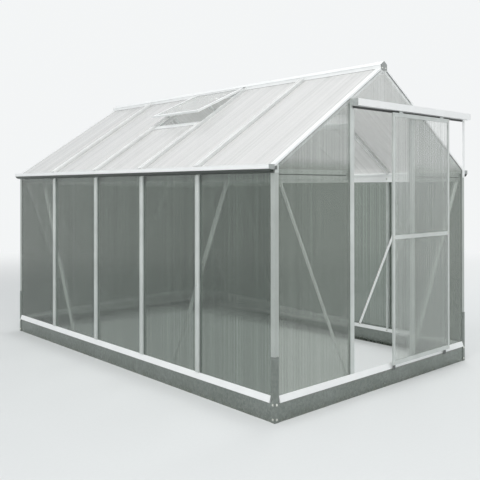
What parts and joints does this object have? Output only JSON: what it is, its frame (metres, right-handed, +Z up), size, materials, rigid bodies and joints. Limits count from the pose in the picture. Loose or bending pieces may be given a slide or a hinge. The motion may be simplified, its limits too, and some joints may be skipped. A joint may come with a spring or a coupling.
{
  "type": "polycarbonate greenhouse",
  "caption": "Walk-in garden greenhouse with a gable roof, twin-wall sheets in an aluminium frame, a galvanised base, a sliding door and hinged roof vents.",
  "frame": {"origin": "on the ground at the middle of the footprint", "axes": "+Z up, +Y along the building from the door gable to the back gable, +X to the right seen from the door"},
  "size_m": [1.986, 3.1982, 2.0173],
  "materials": {
    "aluminium": "satin mill finish",
    "galvanised_steel": "bright galvanised sheet",
    "polycarbonate": "translucent twin-wall sheet with upright flutes",
    "plastic": "moulded grey plastic"
  },
  "bodies": {
    "shell": {"side_base_rails": "galvanised_steel", "gable_base_rails": "galvanised_steel", "base_corner_angles": "galvanised_steel", "side_sills": "aluminium", "gable_sills": "aluminium", "corner_posts": "aluminium", "left_wall_posts": "aluminium", "right_wall_posts": "aluminium", "door_jambs": "aluminium", "back_gable_posts": "aluminium", "left_eave_gutter": "aluminium", "right_eave_gutter": "aluminium", "gutter_end_caps": "plastic", "front_gable_ties": "aluminium", "back_gable_tie": "aluminium", "door_head": "aluminium", "front_rafters": "aluminium", "back_rafters": "aluminium", "left_roof_bars": "aluminium", "right_roof_bars": "aluminium", "ridge_beam": "aluminium", "ridge_end_plates": "aluminium", "vent_cross_bars": "aluminium", "left_wall_panels": "polycarbonate", "right_wall_panels": "polycarbonate", "front_gable_panels": "polycarbonate", "back_gable_panels": "polycarbonate", "left_roof_panels": "polycarbonate", "right_roof_panels": "polycarbonate", "side_wall_braces": "aluminium", "gable_braces": "aluminium", "vent_frames": "aluminium", "vent_panes": "polycarbonate", "vent_stays": "aluminium", "door_track": "aluminium", "track_end_caps": "plastic", "track_strut": "aluminium"},
    "door": {"door_frame": "aluminium", "door_panes": "polycarbonate", "door_hangers": "aluminium", "door_rollers": "plastic", "door_guides": "plastic"}
  },
  "joints": [
    {"name": "door_slide", "type": "slide", "parent": "shell", "child": "door", "axis": [1, 0, 0], "range_m": [-0.382, 0.245]}
  ]
}
